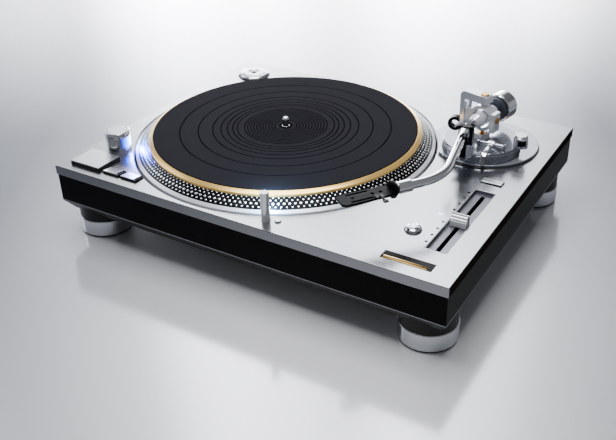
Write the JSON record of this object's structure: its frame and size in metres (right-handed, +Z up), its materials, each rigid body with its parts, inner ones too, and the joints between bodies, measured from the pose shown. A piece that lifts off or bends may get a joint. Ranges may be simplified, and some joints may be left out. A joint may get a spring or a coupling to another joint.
{
  "type": "direct drive turntable",
  "caption": "Turntable with a brushed slab deck, direct drive platter, S-shaped tone arm on a gimbal, pitch fader, strobe tower, pop-up lamp and screw-down feet.",
  "frame": {"origin": "centre of the deck's footprint, at the height of the surface that the feet stand on", "axes": "+X to the user's right along the long side, +Y from the front to the back, +Z up"},
  "size_m": [0.453, 0.353, 0.1478],
  "materials": {
    "plate": "brushed left to right",
    "black_body": "satin black",
    "base_rubber": "moulded, matt",
    "foot_silver": "turned",
    "foot_rubber": "moulded",
    "platter_black": "anodised dark, satin",
    "brass": "turned, satin",
    "mat_rubber": "matt with moulded grooves",
    "damper_rubber": "moulded",
    "steel": "ground",
    "magnet": "sintered",
    "board": "coated laminate",
    "copper": "enamelled winding",
    "button_silver": "fine blasted",
    "chrome": "polished",
    "lens": "clear",
    "base_silver": "turned and polished",
    "arm_silver": "satin, pearl grey",
    "arm_black": "moulded, satin",
    "dark_metal": "anodised black",
    "steel_parts": "plated"
  },
  "bodies": {
    "deck": {"top_plate": "plate", "cabinet": "black_body", "base_shell": "base_rubber", "base_screws": "steel_parts", "foot_necks": "base_rubber", "bearing_housing": "brass", "stator_board": "board", "stator_coils": "copper", "control_board": "board", "power_supply": "board", "strobe_tower": "chrome", "strobe_window": "lens", "pitch_bezel": "plate", "arm_surround": "base_silver", "signal_terminals": "brass", "mains_inlet": "arm_black"},
    "platter": {"platter": "platter_black", "platter_disc": "brass", "platter_damper": "damper_rubber", "rotor_magnet": "magnet", "spindle": "steel"},
    "mat": {"slip_mat": "mat_rubber"},
    "power_switch": {"power_knob": "button_silver"},
    "start_stop": {"start_stop_button": "button_silver"},
    "speed_33": {"speed_button_33": "button_silver"},
    "speed_45": {"speed_button_45": "button_silver"},
    "range": {"range_button": "button_silver"},
    "reset": {"reset_button": "chrome"},
    "lamp_release": {"lamp_button": "chrome"},
    "lamp": {"lamp_pillar": "chrome", "lamp_lens": "lens"},
    "pitch_fader": {"pitch_knob": "button_silver"},
    "adapter": {"adapter_45": "plate"},
    "height_dial": {"height_ring": "base_silver"},
    "platform": {"arm_platform": "base_silver", "yoke": "arm_silver", "yoke_pivots": "brass", "arm_rest": "arm_black"},
    "height_lock": {"lock_lever": "chrome"},
    "gimbal": {"gimbal_ring": "arm_silver", "gimbal_pivots": "brass"},
    "arm": {"arm_housing": "arm_silver", "arm_tube": "chrome"},
    "collar": {"collar_nut": "chrome"},
    "shell": {"headshell": "arm_black", "finger_lift": "arm_black"},
    "weight": {"counterweight": "arm_silver"},
    "dial": {"force_dial": "dark_metal"},
    "cue_handle": {"cue_lever": "chrome"},
    "cue_bar": {"cue_lift": "dark_metal"},
    "clip": {"arm_clip": "arm_black"},
    "anti_skate": {"anti_skate_knob": "base_silver"},
    "foot_front_left": {"foot_front_left": "foot_silver", "foot_pad_front_left": "foot_rubber"},
    "foot_front_right": {"foot_front_right": "foot_silver", "foot_pad_front_right": "foot_rubber"},
    "foot_rear_left": {"foot_rear_left": "foot_silver", "foot_pad_rear_left": "foot_rubber"},
    "foot_rear_right": {"foot_rear_right": "foot_silver", "foot_pad_rear_right": "foot_rubber"}
  },
  "joints": [
    {"name": "platter_spin", "type": "hinge", "parent": "deck", "child": "platter", "pos_m": [-0.0455, -0.003, 0.08], "axis": [0, 0, -1], "continuous": true},
    {"name": "mat_lift_off", "type": "slide", "parent": "platter", "child": "mat", "axis": [0, 0, 1], "range_m": [0, 0.03]},
    {"name": "power_turn", "type": "hinge", "parent": "deck", "child": "power_switch", "pos_m": [-0.1928, -0.1137, 0.103], "axis": [0, 0, -1], "range_deg": [0, 60]},
    {"name": "start_stop_press", "type": "slide", "parent": "deck", "child": "start_stop", "axis": [0, 0, -1], "range_m": [0, 0.002], "stiffness_N_per_m": 500, "springref_m": -0.0005},
    {"name": "speed_33_press", "type": "slide", "parent": "deck", "child": "speed_33", "axis": [0, 0, -1], "range_m": [0, 0.001], "stiffness_N_per_m": 400, "springref_m": -0.0005},
    {"name": "speed_45_press", "type": "slide", "parent": "deck", "child": "speed_45", "axis": [0, 0, -1], "range_m": [0, 0.001], "stiffness_N_per_m": 400, "springref_m": -0.0005},
    {"name": "range_press", "type": "slide", "parent": "deck", "child": "range", "axis": [0, 0, -1], "range_m": [0, 0.001], "stiffness_N_per_m": 400, "springref_m": -0.0005},
    {"name": "reset_press", "type": "slide", "parent": "deck", "child": "reset", "axis": [0, 0, -1], "range_m": [0, 0.0015], "stiffness_N_per_m": 400, "springref_m": -0.0005},
    {"name": "lamp_release_press", "type": "slide", "parent": "deck", "child": "lamp_release", "axis": [0, 0, -1], "range_m": [0, 0.0012], "stiffness_N_per_m": 300, "springref_m": -0.0005},
    {"name": "lamp_sink", "type": "slide", "parent": "deck", "child": "lamp", "axis": [0, 0, -1], "range_m": [0, 0.029]},
    {"name": "pitch_slide", "type": "slide", "parent": "deck", "child": "pitch_fader", "axis": [0, 1, 0], "range_m": [-0.042, 0.054]},
    {"name": "adapter_lift_off", "type": "slide", "parent": "deck", "child": "adapter", "axis": [0, 0, 1], "range_m": [0, 0.03]},
    {"name": "height_turn", "type": "hinge", "parent": "deck", "child": "height_dial", "pos_m": [0.1552, 0.074, 0.085], "axis": [0, 0, 1], "range_deg": [0, 60]},
    {"name": "platform_rise", "type": "slide", "parent": "deck", "child": "platform", "axis": [0, 0, 1], "range_m": [0, 0.00601]},
    {"name": "height_lock_turn", "type": "hinge", "parent": "deck", "child": "height_lock", "pos_m": [0.1932, 0.103, 0.0905], "axis": [0, 0, -1], "range_deg": [0, 60]},
    {"name": "arm_swing", "type": "hinge", "parent": "platform", "child": "gimbal", "pos_m": [0.1552, 0.074, 0.1212], "axis": [0, 0, -1], "range_deg": [0, 45]},
    {"name": "arm_lift", "type": "hinge", "parent": "gimbal", "child": "arm", "pos_m": [0.1552, 0.074, 0.1212], "axis": [-0.9836, 0.1805, 0], "range_deg": [0, 3.8]},
    {"name": "collar_turn", "type": "hinge", "parent": "arm", "child": "collar", "pos_m": [0.14383, -0.10989, 0.1212], "axis": [-0.5793, -0.8151, 0], "range_deg": [0, 90]},
    {"name": "shell_pull_off", "type": "slide", "parent": "arm", "child": "shell", "axis": [-0.5793, -0.8151, 0], "range_m": [0, 0.02]},
    {"name": "weight_travel", "type": "slide", "parent": "arm", "child": "weight", "axis": [-0.1805, -0.9836, 0], "range_m": [-0.004, 0.004]},
    {"name": "dial_turn", "type": "hinge", "parent": "weight", "child": "dial", "pos_m": [0.15966, 0.09829, 0.1212], "axis": [-0.1805, -0.9836, 0], "continuous": true},
    {"name": "cue_lever_turn", "type": "hinge", "parent": "platform", "child": "cue_handle", "pos_m": [0.1732, 0.0545, 0.1016], "axis": [-1, 0, 0], "range_deg": [0, 40]},
    {"name": "cue_rise", "type": "slide", "parent": "platform", "child": "cue_bar", "axis": [0, 0, 1], "range_m": [0, 0.00271]},
    {"name": "clip_open", "type": "hinge", "parent": "platform", "child": "clip", "pos_m": [0.16149, 0.02502, 0.1292], "axis": [-0.2011, 0.9796, 0], "range_deg": [0, 100]},
    {"name": "anti_skate_turn", "type": "hinge", "parent": "platform", "child": "anti_skate", "pos_m": [0.1972, 0.077, 0.1], "axis": [0, 0, -1], "range_deg": [0, 300]},
    {"name": "foot_front_left_screw", "type": "slide", "parent": "deck", "child": "foot_front_left", "axis": [0, 0, -1], "range_m": [0, 0.005]},
    {"name": "foot_front_right_screw", "type": "slide", "parent": "deck", "child": "foot_front_right", "axis": [0, 0, -1], "range_m": [0, 0.005]},
    {"name": "foot_rear_left_screw", "type": "slide", "parent": "deck", "child": "foot_rear_left", "axis": [0, 0, -1], "range_m": [0, 0.005]},
    {"name": "foot_rear_right_screw", "type": "slide", "parent": "deck", "child": "foot_rear_right", "axis": [0, 0, -1], "range_m": [0, 0.005]}
  ],
  "couplings": [
    {"joint": "platform_rise", "follows": "height_turn", "m_per_rad": 0.0057296},
    {"joint": "cue_rise", "follows": "cue_lever_turn", "m_per_rad": 0.0038675}
  ]
}
